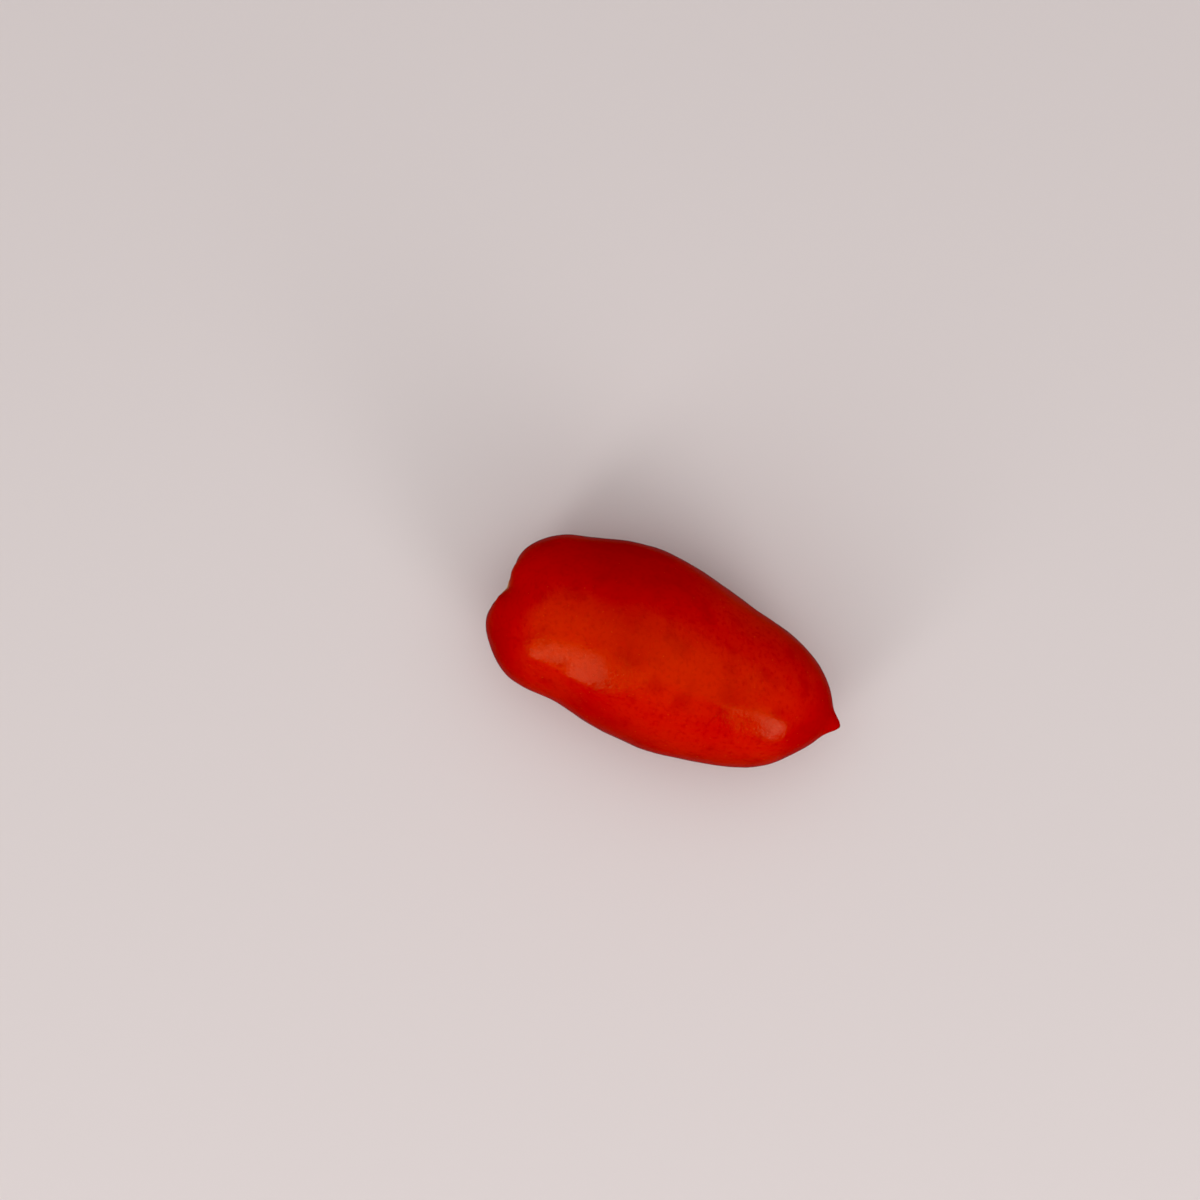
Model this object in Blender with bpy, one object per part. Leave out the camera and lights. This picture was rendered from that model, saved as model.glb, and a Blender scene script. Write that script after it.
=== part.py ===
"""Plum tomato, lying on its side.

One ripe fruit, about 72 mm from the stem end to the pointed blossom tip. The
stem end faces -X, the blossom tip faces +X, and the fruit rests on a small flat
spot at z = 0. Lengths are in metres.

The skin starts as a UV sphere with its poles at the two ends. Every vertex is
placed by one formula: a stretched ellipsoid, swells and hollows laid along its
normal, a stem cavity with a raised stem scar, and a blossom tip.
"""

import math
from collections import namedtuple

import bmesh
import bpy
from mathutils import Vector

MM = 0.001

# The plain ellipsoid under the fruit, before anything is added to it.
BODY_MIDDLE = -0.83 * MM
BODY_HALF_LENGTH = 36.66 * MM
BODY_RADIUS = 18.15 * MM
BODY_FLATNESS = 0.965

# A swell (height above zero) or a hollow (height below zero). It is centred at
# x = at and fades over reach. angle is where it points round the fruit, in
# degrees from +Y towards +Z, and hug is how tightly it keeps to that angle.
# With hug at zero it goes all the way round.
Swell = namedtuple("Swell", "height at reach angle hug")

SHOULDER = Swell(0.82 * MM, -26.6 * MM, 5.1 * MM, 0.0, 0.0)
NOSE = Swell(0.54 * MM, 25.1 * MM, 9.0 * MM, 0.0, 0.0)
NOSE_HOLLOW = Swell(-0.24 * MM, 32.4 * MM, 3.0 * MM, 0.0, 0.0)
BACK_BELLY = Swell(1.26 * MM, -10.1 * MM, 10.3 * MM, 0.0, 1.5)
BACK_SLOPE = Swell(-0.73 * MM, 16.1 * MM, 13.5 * MM, 0.0, 1.5)
BACK_HOLLOW = Swell(-0.43 * MM, 15.0 * MM, 8.5 * MM, 0.0, 1.5)
FRONT_SHOULDER = Swell(1.57 * MM, -22.1 * MM, 7.9 * MM, 180.0, 1.5)
FRONT_WAIST = Swell(-0.99 * MM, -15.9 * MM, 6.5 * MM, 180.0, 2.0)
FRONT_BELLY = Swell(0.48 * MM, 6.2 * MM, 7.0 * MM, 180.0, 1.5)
UNDERSIDE = Swell(0.25 * MM, 0.0 * MM, 16.0 * MM, -90.0, 2.0)
TOP_VALLEY = Swell(-0.45 * MM, -25.0 * MM, 9.0 * MM, 80.0, 7.0)
TOP_GROOVE = Swell(-0.90 * MM, -34.0 * MM, 7.0 * MM, 86.0, 22.0)
BOTTOM_GROOVE = Swell(-0.80 * MM, -34.0 * MM, 7.0 * MM, -84.0, 22.0)

SWELLS = (
    SHOULDER,
    NOSE,
    NOSE_HOLLOW,
    BACK_BELLY,
    BACK_SLOPE,
    BACK_HOLLOW,
    FRONT_SHOULDER,
    FRONT_WAIST,
    FRONT_BELLY,
    UNDERSIDE,
    TOP_VALLEY,
    TOP_GROOVE,
    BOTTOM_GROOVE,
)

# One-sided swells fade out this close to the poles, so the poles stay smooth.
POLE_FADE = 4.0 * MM

# The hollow round the stem, pressed in from the stem end.
CAVITY_DEPTH = 5.6 * MM
CAVITY_RADIUS = 6.4 * MM
CAVITY_Y = 0.8 * MM

# The corky pad that the stem came away from, in the bottom of the cavity.
SCAR_HEIGHT = 0.35 * MM
SCAR_INNER_RADIUS = 3.1 * MM
SCAR_OUTER_RADIUS = 3.9 * MM
SCAR_DIMPLE_DEPTH = 0.45 * MM
SCAR_DIMPLE_RADIUS = 1.1 * MM

# The blossom tip, and the slight sideways lean of the nose.
TIP_LENGTH = 2.38 * MM
TIP_RADIUS = 2.08 * MM
NOSE_LEAN = 0.96 * MM
NOSE_LEAN_AT = 30.7 * MM
NOSE_LEAN_REACH = 2.0 * MM

# The fruit settles this far into its own flat spot.
FLAT_SPOT_DEPTH = 0.40 * MM

# Mesh of the skin.
SEGMENTS = 84
RINGS = 64
POLE_CROWDING = 0.40

SKIN_COLOUR = (0.50, 0.008, 0.001, 1.0)
SKIN_ROUGHNESS = 0.28


def clear_scene():
    """Remove every object the file opened with."""
    for item in list(bpy.data.objects):
        bpy.data.objects.remove(item, do_unlink=True)


def bump(distance, reach):
    """A smooth bump: 1 at the middle, fading with distance over reach."""
    return math.exp(-((distance / reach) ** 2))


def smooth_step(low, high, value):
    """0 below low, 1 above high, with a smooth change between."""
    t = min(max((value - low) / (high - low), 0.0), 1.0)
    return t * t * (3.0 - 2.0 * t)


def swell_height(swell, along, from_axis, turn):
    """Height that one swell adds to the ellipsoid at one place."""
    height = swell.height * bump(along - swell.at, swell.reach)
    if swell.hug == 0.0:
        return height
    side = math.exp(swell.hug * (math.cos(turn - math.radians(swell.angle)) - 1.0))
    return height * side * (1.0 - bump(from_axis, POLE_FADE))


def stem_hollow(y, z):
    """How far the stem cavity pushes the skin in, less the raised scar."""
    from_stem = math.hypot(y - CAVITY_Y, z)
    hollow = CAVITY_DEPTH * bump(from_stem, CAVITY_RADIUS)
    pad = SCAR_HEIGHT * (1.0 - smooth_step(SCAR_INNER_RADIUS, SCAR_OUTER_RADIUS, from_stem))
    dimple = SCAR_DIMPLE_DEPTH * bump(from_stem, SCAR_DIMPLE_RADIUS)
    return hollow - pad + dimple


def nose_lean(along):
    """Sideways shift of the nose, growing smoothly towards the tip."""
    return NOSE_LEAN / (1.0 + math.exp((NOSE_LEAN_AT - along) / NOSE_LEAN_REACH))


def skin_point(polar, turn):
    """Place of the skin, polar from the stem pole and turn round the length."""
    cosine = -math.cos(polar)
    sine = math.sin(polar)
    along = BODY_MIDDLE + BODY_HALF_LENGTH * cosine
    from_axis = BODY_RADIUS * sine
    outward = Vector((cosine * BODY_RADIUS, sine * BODY_HALF_LENGTH)).normalized()
    height = sum(swell_height(swell, along, from_axis, turn) for swell in SWELLS)
    x = along + height * outward.x
    radius = from_axis + height * outward.y
    y = radius * math.cos(turn)
    z = radius * math.sin(turn) * BODY_FLATNESS
    if cosine < 0.0:
        x += stem_hollow(y, z)
    else:
        x += TIP_LENGTH * bump(from_axis, TIP_RADIUS)
    return Vector((x, y + nose_lean(along), z))


def shape_skin(mesh):
    """Move a unit sphere's vertices, poles on Z, to the skin of the fruit."""
    for vert in mesh.verts:
        polar = math.acos(min(max(-vert.co.z, -1.0), 1.0))
        polar -= 0.5 * POLE_CROWDING * math.sin(2.0 * polar)
        turn = math.atan2(vert.co.y, vert.co.x)
        vert.co = skin_point(polar, turn)


def press_flat_spot(mesh):
    """Level the lowest part of the skin into the spot it rests on."""
    floor = min(vert.co.z for vert in mesh.verts) + FLAT_SPOT_DEPTH
    for vert in mesh.verts:
        vert.co.z = max(vert.co.z, floor)


def seat_on_origin(mesh):
    """Centre the fruit over the origin, with its flat spot at z = 0."""
    xs = [vert.co.x for vert in mesh.verts]
    ys = [vert.co.y for vert in mesh.verts]
    zs = [vert.co.z for vert in mesh.verts]
    middle = Vector(((min(xs) + max(xs)) / 2.0, (min(ys) + max(ys)) / 2.0, min(zs)))
    for vert in mesh.verts:
        vert.co -= middle


def skin_material():
    """Glossy red skin."""
    material = bpy.data.materials.new("skin")
    material.use_nodes = True
    shader = material.node_tree.nodes["Principled BSDF"]
    shader.inputs["Base Color"].default_value = SKIN_COLOUR
    shader.inputs["Roughness"].default_value = SKIN_ROUGHNESS
    shader.inputs["Metallic"].default_value = 0.0
    material.diffuse_color = SKIN_COLOUR
    return material


def build_tomato(collection):
    """The whole fruit, one closed solid."""
    mesh = bmesh.new()
    bmesh.ops.create_uvsphere(mesh, u_segments=SEGMENTS, v_segments=RINGS, radius=1.0)
    shape_skin(mesh)
    press_flat_spot(mesh)
    seat_on_origin(mesh)
    for face in mesh.faces:
        face.smooth = True
    data = bpy.data.meshes.new("tomato")
    mesh.to_mesh(data)
    mesh.free()
    data.materials.append(skin_material())
    tomato = bpy.data.objects.new("tomato", data)
    collection.objects.link(tomato)
    return tomato


def main():
    clear_scene()
    collection = bpy.data.collections.new("Plum tomato")
    bpy.context.scene.collection.children.link(collection)
    build_tomato(collection)


main()
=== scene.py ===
"""Dressing for a plum tomato that lies on its side.

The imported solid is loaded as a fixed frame. A fine skin, a corky stem scar and
a dried blossom point are laid over it, with a plain studio round them. Lengths
are in metres. The stem end faces -X, the blossom tip +X, and z = 0 is the floor.
"""

import math
from collections import namedtuple

import bmesh
import bpy
from bpy.props import (
    FloatProperty,
    FloatVectorProperty,
    IntProperty,
    PointerProperty,
)
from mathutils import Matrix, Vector


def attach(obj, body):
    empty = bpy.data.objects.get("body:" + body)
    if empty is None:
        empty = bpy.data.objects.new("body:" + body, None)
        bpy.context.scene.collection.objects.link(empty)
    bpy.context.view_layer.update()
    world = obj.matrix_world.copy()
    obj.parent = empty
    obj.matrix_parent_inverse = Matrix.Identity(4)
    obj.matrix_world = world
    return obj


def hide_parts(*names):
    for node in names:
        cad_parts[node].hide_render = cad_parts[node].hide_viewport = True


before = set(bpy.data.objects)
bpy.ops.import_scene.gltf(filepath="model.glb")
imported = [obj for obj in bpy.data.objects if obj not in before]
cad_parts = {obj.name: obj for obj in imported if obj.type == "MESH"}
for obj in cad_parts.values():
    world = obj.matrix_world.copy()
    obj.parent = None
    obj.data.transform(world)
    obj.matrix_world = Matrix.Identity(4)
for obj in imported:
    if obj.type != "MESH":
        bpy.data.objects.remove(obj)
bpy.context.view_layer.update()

bl_info = {
    "name": "Plum tomato",
    "version": (1, 0, 0),
    "blender": (4, 5, 0),
    "location": "View3D > Sidebar > Plum tomato",
    "description": "Dresses a plum tomato with its skin, stem scar and blossom point",
    "category": "Object",
}

MM = 0.001
BODY = "root"
NODE = "tomato"

# Where the fruit's own middle line sits, measured from the frame's origin.
SEAT = Vector((-2.254, -0.278, 17.478)) * MM

# The same swells and hollows as the solid has. A swell is centred at x = at and
# fades over reach. angle is where it points round the fruit, in degrees from +Y
# towards +Z, and hug is how tightly it keeps to that angle. With hug at zero it
# goes all the way round.
Swell = namedtuple("Swell", "name height at reach angle hug")

SWELLS = (
    Swell("Shoulder", 0.82 * MM, -26.6 * MM, 5.1 * MM, 0.0, 0.0),
    Swell("Nose", 0.54 * MM, 25.1 * MM, 9.0 * MM, 0.0, 0.0),
    Swell("Nose hollow", -0.24 * MM, 32.4 * MM, 3.0 * MM, 0.0, 0.0),
    Swell("Back belly", 1.26 * MM, -10.1 * MM, 10.3 * MM, 0.0, 1.5),
    Swell("Back slope", -0.73 * MM, 16.1 * MM, 13.5 * MM, 0.0, 1.5),
    Swell("Back hollow", -0.43 * MM, 15.0 * MM, 8.5 * MM, 0.0, 1.5),
    Swell("Front shoulder", 1.57 * MM, -22.1 * MM, 7.9 * MM, 180.0, 1.5),
    Swell("Front waist", -0.99 * MM, -15.9 * MM, 6.5 * MM, 180.0, 2.0),
    Swell("Front belly", 0.48 * MM, 6.2 * MM, 7.0 * MM, 180.0, 1.5),
    Swell("Underside", 0.25 * MM, 0.0 * MM, 16.0 * MM, -90.0, 2.0),
    Swell("Top valley", -0.45 * MM, -25.0 * MM, 9.0 * MM, 80.0, 7.0),
    Swell("Top groove", -0.90 * MM, -34.0 * MM, 7.0 * MM, 86.0, 22.0),
    Swell("Bottom groove", -0.80 * MM, -34.0 * MM, 7.0 * MM, -84.0, 22.0),
)

# Ridges, grooves, a crease and a flat along the skin, too slight for the solid,
# that shape the highlights.
RIDGES = (
    Swell("Shoulder ridge", 0.25 * MM, -20.5 * MM, 5.0 * MM, 129.0, 45.0),
    Swell("Belly ridge", 0.25 * MM, -11.0 * MM, 6.5 * MM, 133.0, 45.0),
    Swell("Nose crease", 0.18 * MM, 13.0 * MM, 7.0 * MM, 103.5, 220.0),
    Swell("Nose flat", -0.24 * MM, 24.0 * MM, 6.0 * MM, 112.0, 33.0),
    Swell("Back groove", -0.30 * MM, -8.0 * MM, 18.0 * MM, 28.0, 16.0),
    Swell("Front groove", -0.25 * MM, 2.0 * MM, 18.0 * MM, 205.0, 16.0),
)

# The plain ellipsoid's middle, how far from the middle line one-sided swells
# fade in, the cavity's place across the fruit, the nose's lean to +Y, and how
# softly the skin turns into the flat spot.
BODY_MIDDLE = -0.83 * MM
POLE_FADE = 4.0 * MM
CAVITY_Y = 0.8 * MM
NOSE_LEAN = 0.96 * MM
NOSE_LEAN_AT = 30.7 * MM
NOSE_LEAN_REACH = 2.0 * MM
FLAT_SPOT_BLEND = 0.08 * MM

# How the skin's rows crowd towards both ends, and its fine rise and fall.
CROWDING = 0.35
UNEVENNESS_SEED = 5.0
UNEVENNESS_DETAIL = 1.5

# The stem end: the whole of it up to the first x, and none past the second.
STEM_END_FULL = -30.0 * MM
STEM_END_GONE = -24.0 * MM

# Shallow folds that run out from the stem cavity.
FOLD_SIZE = 0.45
FOLD_AT = 5.2 * MM
FOLD_REACH = 1.7 * MM
FOLD_HEIGHT = 0.50 * MM
FOLD_SEED = 5.0

# The stem scar's mesh, its ragged outline, how squarely its face ends, its sunk
# ring and middle, its loose flakes, and how far its edge reaches under the skin.
SCAR_SEGMENTS = 160
SCAR_RINGS = 80
SCAR_SEED = 2.0
SCAR_OUTLINE_SIZE = 0.7
SCAR_OUTLINE_SHARE = 0.5
SCAR_FACE_POWER = 6.0
SCAR_RING_RADIUS = 1.5 * MM
SCAR_RING_WIDTH = 0.28 * MM
SCAR_RING_DEPTH = 0.16 * MM
SCAR_FLAKE = 0.30 * MM
SCAR_FLAKE_SIZE = 0.7 * MM
SCAR_SINK = 0.40 * MM

# What the pad's points keep: 0 at the middle of the pad and 1 at its edge.
RIM = "rim"

# The outer end of the blossom tip.
TIP_END = Vector((36.01, 0.61, 17.48)) * MM

# The dried blossom point: its mesh, its size, its wrinkles and its paler colour.
POINT_SEGMENTS = 48
POINT_RINGS = 24
POINT_SEED = 7.0
POINT_RADIUS = 0.5 * MM
POINT_HEIGHT = 0.3 * MM
POINT_WRINKLE_SIZE = 0.6
POINT_WRINKLE_SHARE = 0.7
POINT_BROWN = (0.30, 0.11, 0.03, 1.0)

# Zones of the skin that lean to orange, partly its own tone and partly painted
# sheen round the highlights, and darker ones: small mottles on top, and painted
# shade along the lower flank and on the upper-left shoulder. Each has its
# middle, its reach and how strong it is.
Zone = namedtuple("Zone", "middle reach strength")

ORANGE_TONE_AND_SHEEN_ZONES = (
    Zone(Vector((-21.0, -5.5, 30.0)) * MM, 16.0 * MM, 0.7),
    Zone(Vector((20.0, -13.0, 24.0)) * MM, 13.0 * MM, 0.6),
    Zone(Vector((12.0, 9.0, 29.0)) * MM, 19.0 * MM, 0.8),
    Zone(Vector((1.0, -11.0, 30.0)) * MM, 16.0 * MM, 0.7),
    Zone(Vector((-3.0, 7.0, 31.0)) * MM, 12.0 * MM, 0.4),
    Zone(Vector((24.0, 3.0, 28.0)) * MM, 11.0 * MM, 0.7),
)
MOTTLE_AND_SHADE_ZONES = (
    # Small dark mottles on top of the fruit.
    Zone(Vector((1.1, 2.6, 34.5)) * MM, 3.2 * MM, 0.35),
    Zone(Vector((-1.0, -5.8, 34.0)) * MM, 3.0 * MM, 0.35),
    Zone(Vector((5.0, -6.4, 33.7)) * MM, 2.8 * MM, 0.35),
    # Painted shade along the lower flank and on the upper-left shoulder.
    Zone(Vector((-2.0, -20.0, 19.0)) * MM, 16.0 * MM, 0.6),
    Zone(Vector((17.0, -17.0, 19.0)) * MM, 13.0 * MM, 0.5),
    Zone(Vector((-19.0, 17.0, 21.0)) * MM, 13.0 * MM, 0.7),
)

# A thin curved scuff: it lies at one distance from a point, near its own middle.
SCUFF_CENTRE = Vector((23.1, -11.7, 31.0)) * MM
SCUFF_CURVE = 12.0 * MM
SCUFF_WIDTH = 0.22 * MM
SCUFF_MIDDLE = Vector((11.9, -7.5, 32.6)) * MM
SCUFF_REACH = 4.2 * MM
SCUFF_STRENGTH = 0.4

# Soft patches: how wide they are, the noise at which they start and at which
# they are full, their seed, how fine their edges are, and their strength.
Patches = namedtuple("Patches", "size low high seed detail strength")

RIPENESS = Patches(16.0 * MM, 0.38, 0.66, 4.0, 2.0, 1.0)
STREAKS = Patches(2.2 * MM, 0.45, 0.75, 9.0, 2.0, 0.35)
BLOTCHES = Patches(5.0 * MM, 0.50, 0.72, 2.0, 3.0, 0.4)
GRAIN = Patches(1.4 * MM, 0.40, 0.80, 6.0, 3.0, 0.3)
PORES = Patches(0.8 * MM, 0.46, 0.72, 21.0, 3.0, 0.35)
FLECKS = Patches(0.45 * MM, 0.79, 0.84, 15.0, 0.0, 0.12)
DULLNESS = Patches(3.0 * MM, 0.30, 0.70, 12.0, 2.0, 0.06)
CORK_MOTTLE = Patches(1.1 * MM, 0.38, 0.66, 3.0, 4.0, 0.6)
CORK_BREAKS = Patches(1.6 * MM, 0.42, 0.56, 8.0, 3.0, 1.0)
POINT_MOTTLE = Patches(0.4 * MM, 0.35, 0.70, 3.0, 3.0, 1.0)

# The streaks run along the fruit, so x counts for less in them.
STREAK_STRETCH = (0.12, 1.0, 1.0)

# The part of a round zone's reach that is at full strength, and the noise of
# its edge.
SPOT_CORE = 0.2
SPOT_SEED = 3.0

# Noise that makes a distance from the stem scar's middle waver.
Waver = namedtuple("Waver", "size seed detail height")

SKIN_WAVER = Waver(1.8 * MM, 30.0, 3.0, 2.4 * MM)
CORK_WAVER = Waver(1.5 * MM, 11.0, 2.0, 0.9 * MM)

# Colours of the skin round the stem scar: full up to one distance from its
# middle and gone at the next.
Halo = namedtuple("Halo", "full gone strength")

STEM_GLOW = Halo(3.6 * MM, 7.0 * MM, 0.7)
STEM_RIM = Halo(3.5 * MM, 4.6 * MM, 0.9)

# The cork's dark rings, which break up between the one and the other.
Ring = namedtuple("Ring", "radius width strength")

INNER_RING = Ring(SCAR_RING_RADIUS, 0.20 * MM, 1.4)
OUTER_RING = Ring(2.7 * MM, 0.12 * MM, 0.8)

# The cork's salmon outer part, its cracks, and its rim against the skin, from 0
# at the middle of the pad to 1 at its edge.
SALMON_FROM = 2.3 * MM
SALMON_FULL = 3.1 * MM
SALMON_STRENGTH = 0.8
CRACK_SIZE = 1.3 * MM
CRACK_SEED = 5.0
CRACK_WIDTH = 0.06
CRACK_STRENGTH = 0.3
CORK_RIM_FROM = 0.90
CORK_RIM_FULL = 0.99
CORK_RIM_STRENGTH = 0.8
CORK_RIM_COLOUR = (0.36, 0.07, 0.012, 1.0)

# Fine pebbled relief: two sizes of pebble and how deep each is.
Relief = namedtuple("Relief", "size depth coarse_size coarse_depth")

SKIN_RELIEF = Relief(0.6 * MM, 0.05 * MM, 2.0 * MM, 0.035 * MM)
CORK_RELIEF = Relief(0.18 * MM, 0.03 * MM, 0.8 * MM, 0.08 * MM)
POINT_RELIEF = Relief(0.1 * MM, 0.01 * MM, 0.3 * MM, 0.02 * MM)
FINE_SEED = 1.0
COARSE_SEED = 2.0

# Roughness of the skin where it isn't dulled.
SKIN_ROUGHNESS = 0.18

# The round floor, and the low wall that its rim rises into.
FLOOR_RADIUS = 2.0
FLOOR_SEGMENTS = 96
WALL_REACH = 0.8
WALL_STEPS = 8

# The two softboxes. Azimuth is from the picture's lower edge and left is
# positive. Both angles are in degrees.
Softbox = namedtuple("Softbox", "name azimuth elevation distance size")

SOFTBOXES = (
    Softbox("softbox_left", 45.0, 43.0, 0.8, (0.32, 0.84)),
    Softbox("softbox_right", -35.0, 34.0, 0.8, (0.46, 0.80)),
)
LIGHT_TARGET = Vector((0.0, 0.0, 17.5 * MM))

# Shares of a softbox over which it fades: at each side, at its foot, and from
# where it fades to its top.
SIDE_FADE = 0.35
FOOT_FADE = 0.14
TOP_FADE_FROM = 0.30

# The photograph's frame: its scale, its middle over the fruit, and the turn of
# the fruit's length in it.
FRAME_SIZE = 1200 * 0.1956 * MM
FRAME_MIDDLE = Vector((-16.92, 4.93, 17.5)) * MM
FRAME_TURN = math.radians(23.2)
SENSOR = 36.0
BLACK_LEVEL = 0.010

# Socket types of the node groups.
NUMBER = "NodeSocketFloat"
COUNT = "NodeSocketInt"
VECTOR = "NodeSocketVector"
MATERIAL = "NodeSocketMaterial"
GEOMETRY = "NodeSocketGeometry"


# Sizes and colours that a user would change.


class FruitSettings(bpy.types.PropertyGroup):
    """Sizes of the fruit's skin."""

    half_length: FloatProperty(
        name="Half length",
        description="Half the length of the plain ellipsoid under the skin",
        default=36.66 * MM,
        unit="LENGTH",
    )
    radius: FloatProperty(
        name="Radius",
        description="Radius of the plain ellipsoid under the skin",
        default=18.15 * MM,
        unit="LENGTH",
    )
    flatness: FloatProperty(
        name="Flatness",
        description="Height of the fruit as a share of its width",
        default=0.965,
    )
    cavity_depth: FloatProperty(
        name="Cavity depth",
        description="How far the stem end is pressed in",
        default=5.6 * MM,
        unit="LENGTH",
    )
    cavity_radius: FloatProperty(
        name="Cavity radius",
        description="How wide the hollow at the stem end is",
        default=6.4 * MM,
        unit="LENGTH",
    )
    tip_length: FloatProperty(
        name="Tip length",
        description="How far the blossom tip stands out",
        default=2.28 * MM,
        unit="LENGTH",
    )
    tip_radius: FloatProperty(
        name="Tip radius",
        description="How wide the blossom tip is",
        default=2.08 * MM,
        unit="LENGTH",
    )
    unevenness: FloatProperty(
        name="Unevenness",
        description="How far the skin rises and falls over a few millimetres",
        default=0.26 * MM,
        unit="LENGTH",
    )
    unevenness_size: FloatProperty(
        name="Unevenness size",
        description="How wide the rises in the skin are",
        default=7.0 * MM,
        unit="LENGTH",
    )
    segments: IntProperty(
        name="Segments",
        description="Steps round the fruit",
        default=400,
    )
    rings: IntProperty(
        name="Rings",
        description="Steps along the fruit",
        default=240,
    )


class SkinSettings(bpy.types.PropertyGroup):
    """Colours of the skin."""

    deep: FloatVectorProperty(
        name="Deep red",
        description="Colour of the ripest skin",
        subtype="COLOR",
        size=4,
        default=(0.46, 0.0023, 0.0005, 1.0),
    )
    bright: FloatVectorProperty(
        name="Bright red",
        description="Colour of the lighter patches",
        subtype="COLOR",
        size=4,
        default=(0.525, 0.0075, 0.001, 1.0),
    )
    # Also the colour of the painted shade along the lower flank and on the upper-left
    # shoulder.
    dark: FloatVectorProperty(
        name="Dark red",
        description="Colour of the darker blotches",
        subtype="COLOR",
        size=4,
        default=(0.35, 0.0014, 0.0004, 1.0),
    )
    # Also the colour of the painted sheen round the highlights.
    warm: FloatVectorProperty(
        name="Warm red",
        description="Colour of the zones that lean to orange",
        subtype="COLOR",
        size=4,
        default=(0.62, 0.018, 0.001, 1.0),
    )
    fleck: FloatVectorProperty(
        name="Fleck",
        description="Colour of the pale flecks",
        subtype="COLOR",
        size=4,
        default=(0.80, 0.20, 0.08, 1.0),
    )
    stem_glow: FloatVectorProperty(
        name="Stem glow",
        description="Colour of the skin round the stem scar",
        subtype="COLOR",
        size=4,
        default=(0.66, 0.055, 0.004, 1.0),
    )
    stem_rim: FloatVectorProperty(
        name="Stem rim",
        description="Colour of the skin against the stem scar",
        subtype="COLOR",
        size=4,
        default=(0.78, 0.26, 0.035, 1.0),
    )


class ScarSettings(bpy.types.PropertyGroup):
    """Sizes and colours of the stem scar."""

    radius: FloatProperty(
        name="Radius",
        description="Radius of the corky pad",
        default=3.5 * MM,
        unit="LENGTH",
    )
    thickness: FloatProperty(
        name="Thickness",
        description="How far the pad stands out of the cavity",
        default=0.30 * MM,
        unit="LENGTH",
    )
    cork: FloatVectorProperty(
        name="Cork",
        description="Main colour of the pad",
        subtype="COLOR",
        size=4,
        default=(0.66, 0.46, 0.21, 1.0),
    )
    bark: FloatVectorProperty(
        name="Bark",
        description="Colour of the dry dark ring and cracks",
        subtype="COLOR",
        size=4,
        default=(0.09, 0.035, 0.010, 1.0),
    )
    olive: FloatVectorProperty(
        name="Olive",
        description="Colour of the greener patches of the pad",
        subtype="COLOR",
        size=4,
        default=(0.42, 0.36, 0.10, 1.0),
    )
    salmon: FloatVectorProperty(
        name="Salmon",
        description="Colour of the pad towards its edge",
        subtype="COLOR",
        size=4,
        default=(0.76, 0.29, 0.11, 1.0),
    )


class StudioSettings(bpy.types.PropertyGroup):
    """Floor, light and camera."""

    floor: FloatVectorProperty(
        name="Floor",
        description="Colour of the pale floor",
        subtype="COLOR",
        size=4,
        default=(0.70, 0.63, 0.62, 1.0),
    )
    key_brightness: FloatProperty(
        name="Key brightness",
        description="Radiance of the two low softboxes",
        default=4.6,
    )
    top_brightness: FloatProperty(
        name="Top brightness",
        description="Radiance of the room straight overhead",
        default=1.62,
    )
    room_brightness: FloatProperty(
        name="Room brightness",
        description="Radiance of the room at the floor's level",
        default=0.07,
    )
    camera_height: FloatProperty(
        name="Camera height",
        description="Height of the camera over the fruit's middle",
        default=0.7,
        unit="LENGTH",
    )


class TomatoSettings(bpy.types.PropertyGroup):
    """Everything that the panel shows."""

    fruit: PointerProperty(type=FruitSettings)
    skin: PointerProperty(type=SkinSettings)
    scar: PointerProperty(type=ScarSettings)
    studio: PointerProperty(type=StudioSettings)


# Node trees written as formulas.


class Wire:
    """A number in a node tree that can be added, multiplied and so on."""

    def __init__(self, tree, socket):
        self.tree = tree
        self.socket = socket

    def __add__(self, other):
        return maths(self.tree, "ADD", self, other)

    def __sub__(self, other):
        return maths(self.tree, "SUBTRACT", self, other)

    def __rsub__(self, other):
        return maths(self.tree, "SUBTRACT", other, self)

    def __mul__(self, other):
        return maths(self.tree, "MULTIPLY", self, other)

    def __truediv__(self, other):
        return maths(self.tree, "DIVIDE", self, other)

    def __rtruediv__(self, other):
        return maths(self.tree, "DIVIDE", other, self)

    def __neg__(self):
        return self * -1.0


def feed(tree, socket, value):
    """Link a wire or an output to a socket, or set the socket to a plain value."""
    if isinstance(value, Wire):
        tree.links.new(value.socket, socket)
    elif isinstance(value, bpy.types.NodeSocket):
        tree.links.new(value, socket)
    else:
        socket.default_value = value


def maths(tree, operation, *values):
    """One Math node."""
    node = tree.nodes.new("ShaderNodeMath")
    node.operation = operation
    for socket, value in zip(node.inputs, values):
        feed(tree, socket, value)
    return Wire(tree, node.outputs[0])


def cos(wire):
    """Cosine of an angle."""
    return maths(wire.tree, "COSINE", wire)


def sin(wire):
    """Sine of an angle."""
    return maths(wire.tree, "SINE", wire)


def root(wire):
    """Square root."""
    return maths(wire.tree, "SQRT", wire)


def bump(distance, reach):
    """A smooth bump: 1 at the middle, fading with distance over reach."""
    share = distance / reach
    return maths(share.tree, "EXPONENT", -(share * share))


def ease(low, high, wire):
    """0 below low, 1 above high, with a smooth change between."""
    node = wire.tree.nodes.new("ShaderNodeMapRange")
    node.interpolation_type = "SMOOTHSTEP"
    feed(wire.tree, node.inputs["Value"], wire)
    feed(wire.tree, node.inputs["From Min"], low)
    feed(wire.tree, node.inputs["From Max"], high)
    return Wire(wire.tree, node.outputs["Result"])


def split(tree, vector):
    """The three numbers of a vector."""
    node = tree.nodes.new("ShaderNodeSeparateXYZ")
    feed(tree, node.inputs[0], vector)
    return [Wire(tree, socket) for socket in node.outputs]


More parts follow.
